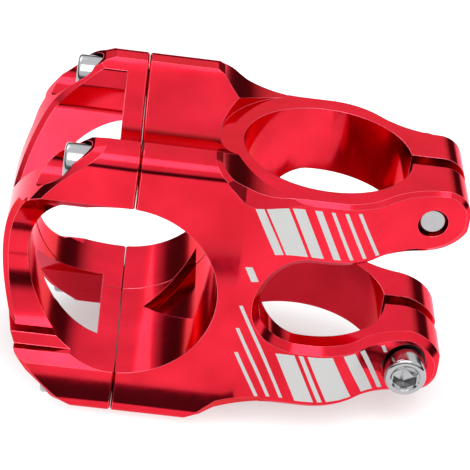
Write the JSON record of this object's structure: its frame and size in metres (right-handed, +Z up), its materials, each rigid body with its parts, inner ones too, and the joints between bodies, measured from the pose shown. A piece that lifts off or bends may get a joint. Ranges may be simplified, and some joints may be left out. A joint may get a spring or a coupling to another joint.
{
  "type": "bicycle handlebar stem",
  "caption": "Short handlebar stem: two open steerer clamp rings with cross bolts and a removable windowed faceplate that clamps the handlebar.",
  "frame": {"origin": "on the steerer axis, level with the handlebar axis, at mid height of the two steerer rings", "axes": "+X forward to the handlebar, +Y to the rider's left along the handlebar, +Z up along the steerer tube"},
  "size_m": [0.0763, 0.0406, 0.0502],
  "materials": {
    "anodised_body": "gloss anodised",
    "anodised_faceplate": "gloss anodised",
    "bolt_steel": "polished",
    "washer_steel": "satin"
  },
  "bodies": {
    "stem_body": {"body": "anodised_body"},
    "faceplate_group": {"faceplate": "anodised_faceplate", "faceplate_washer_upper_left": "washer_steel", "faceplate_washer_upper_right": "washer_steel", "faceplate_washer_lower_left": "washer_steel", "faceplate_washer_lower_right": "washer_steel"},
    "faceplate_screw_upper_left": {"faceplate_bolt_upper_left": "bolt_steel"},
    "faceplate_screw_upper_right": {"faceplate_bolt_upper_right": "bolt_steel"},
    "faceplate_screw_lower_left": {"faceplate_bolt_lower_left": "bolt_steel"},
    "faceplate_screw_lower_right": {"faceplate_bolt_lower_right": "bolt_steel"},
    "pinch_seat_upper": {"pinch_washer_upper": "washer_steel"},
    "pinch_screw_upper": {"pinch_bolt_upper": "bolt_steel"},
    "pinch_seat_lower": {"pinch_washer_lower": "washer_steel"},
    "pinch_screw_lower": {"pinch_bolt_lower": "bolt_steel"}
  },
  "joints": [
    {"name": "faceplate_slide", "type": "slide", "parent": "stem_body", "child": "faceplate_group", "axis": [1, 0, 0], "range_m": [0, 0.014]},
    {"name": "turn_upper_left", "type": "hinge", "parent": "faceplate_group", "child": "faceplate_screw_upper_left", "pos_m": [0.044, 0.01575, 0.0202], "axis": [1, 0, 0], "range_deg": [0, 6301]},
    {"name": "turn_upper_right", "type": "hinge", "parent": "faceplate_group", "child": "faceplate_screw_upper_right", "pos_m": [0.044, -0.01575, 0.0202], "axis": [1, 0, 0], "range_deg": [0, 6301]},
    {"name": "turn_lower_left", "type": "hinge", "parent": "faceplate_group", "child": "faceplate_screw_lower_left", "pos_m": [0.044, 0.01575, -0.0202], "axis": [1, 0, 0], "range_deg": [0, 6301]},
    {"name": "turn_lower_right", "type": "hinge", "parent": "faceplate_group", "child": "faceplate_screw_lower_right", "pos_m": [0.044, -0.01575, -0.0202], "axis": [1, 0, 0], "range_deg": [0, 6301]},
    {"name": "pinch_slide_upper", "type": "slide", "parent": "stem_body", "child": "pinch_seat_upper", "axis": [0, -1, 0], "range_m": [0, 0.012]},
    {"name": "pinch_turn_upper", "type": "hinge", "parent": "pinch_seat_upper", "child": "pinch_screw_upper", "pos_m": [-0.018, -0.0102, 0.01415], "axis": [0, -1, 0], "range_deg": [0, 5401]},
    {"name": "pinch_slide_lower", "type": "slide", "parent": "stem_body", "child": "pinch_seat_lower", "axis": [0, 1, 0], "range_m": [0, 0.012]},
    {"name": "pinch_turn_lower", "type": "hinge", "parent": "pinch_seat_lower", "child": "pinch_screw_lower", "pos_m": [-0.018, 0.0102, -0.01415], "axis": [0, 1, 0], "range_deg": [0, 5401]}
  ],
  "couplings": [
    {"joint": "turn_upper_left", "follows": "faceplate_slide", "rad_per_m": 7854},
    {"joint": "turn_upper_right", "follows": "faceplate_slide", "rad_per_m": 7854},
    {"joint": "turn_lower_left", "follows": "faceplate_slide", "rad_per_m": 7854},
    {"joint": "turn_lower_right", "follows": "faceplate_slide", "rad_per_m": 7854},
    {"joint": "pinch_turn_upper", "follows": "pinch_slide_upper", "rad_per_m": 7854},
    {"joint": "pinch_turn_lower", "follows": "pinch_slide_lower", "rad_per_m": 7854}
  ]
}
